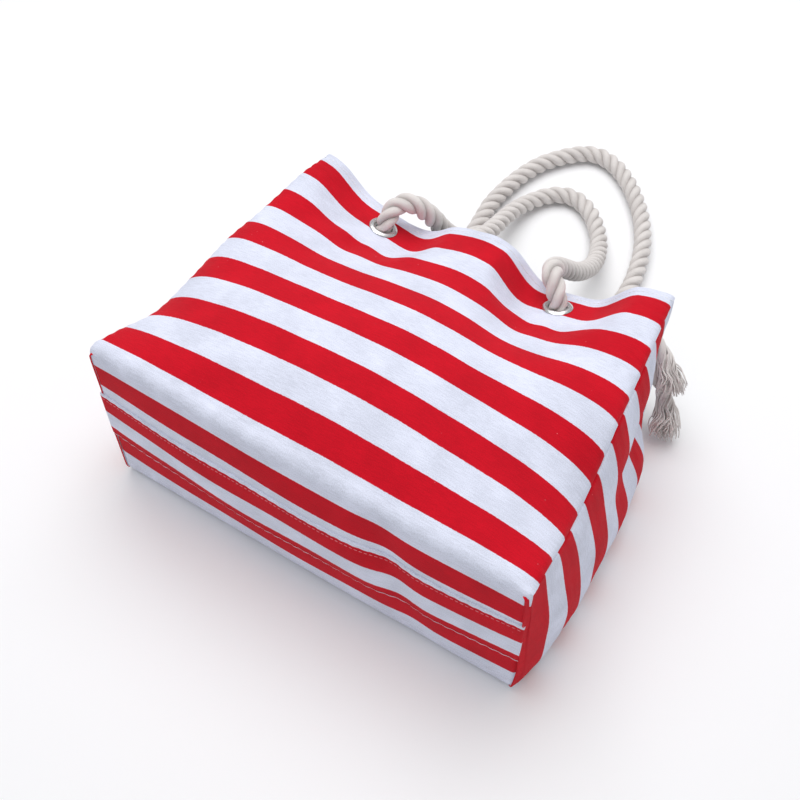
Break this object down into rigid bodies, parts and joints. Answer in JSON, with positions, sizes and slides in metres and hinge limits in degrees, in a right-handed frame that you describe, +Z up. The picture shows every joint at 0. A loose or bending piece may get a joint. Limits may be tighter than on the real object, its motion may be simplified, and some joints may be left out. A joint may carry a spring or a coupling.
{
  "type": "beach bag",
  "caption": "Striped canvas beach bag with rope handles, lying on its back panel, mouth to +Y.",
  "frame": {"origin": "centre of the underside of the bag's body, on the ground it lies on, without its ropes", "axes": "+X along the bag's length, +Y from the base to the mouth, +Z up out of the front panel"},
  "size_m": [0.4778, 0.69, 0.2108],
  "materials": {
    "striped_canvas": "matte heavy canvas, red and white stripes 28 mm wide",
    "hem_canvas": "matte white canvas",
    "lining": "matte plain cotton",
    "rope": "soft twisted cotton, off-white",
    "grommet_steel": "plated, softly polished",
    "board": "plain stiff sheet"
  },
  "bodies": {
    "bag": {"front_panel": "striped_canvas", "back_panel": "striped_canvas", "base_strip": "striped_canvas", "gusset_left": "striped_canvas", "gusset_right": "striped_canvas", "facing_front": "hem_canvas", "facing_back": "hem_canvas", "facing_left": "hem_canvas", "facing_right": "hem_canvas", "lining_front": "lining", "lining_back": "lining", "lining_left": "lining", "lining_right": "lining", "lining_base": "lining", "base_board": "board", "eyelet_front_left": "grommet_steel", "washer_front_left": "grommet_steel", "knot_front_left": "rope", "tail_front_left": "rope", "eyelet_front_right": "grommet_steel", "washer_front_right": "grommet_steel", "knot_front_right": "rope", "tail_front_right": "rope", "eyelet_rear_left": "grommet_steel", "washer_rear_left": "grommet_steel", "knot_rear_left": "rope", "tail_rear_left": "rope", "eyelet_rear_right": "grommet_steel", "washer_rear_right": "grommet_steel", "knot_rear_right": "rope", "tail_rear_right": "rope"},
    "front_handle": {"handle_front": "rope"},
    "rear_handle": {"handle_rear": "rope"}
  },
  "joints": [
    {"name": "front_handle_swing", "type": "hinge", "parent": "bag", "child": "front_handle", "pos_m": [-0.10336, 0.13729, 0.16032], "axis": [0.9998, 0.001, -0.0186], "range_deg": [0, 120]},
    {"name": "rear_handle_swing", "type": "hinge", "parent": "bag", "child": "rear_handle", "pos_m": [-0.0995, 0.1345, 0.0142], "axis": [1, 0, 0], "range_deg": [-120, 0]}
  ]
}
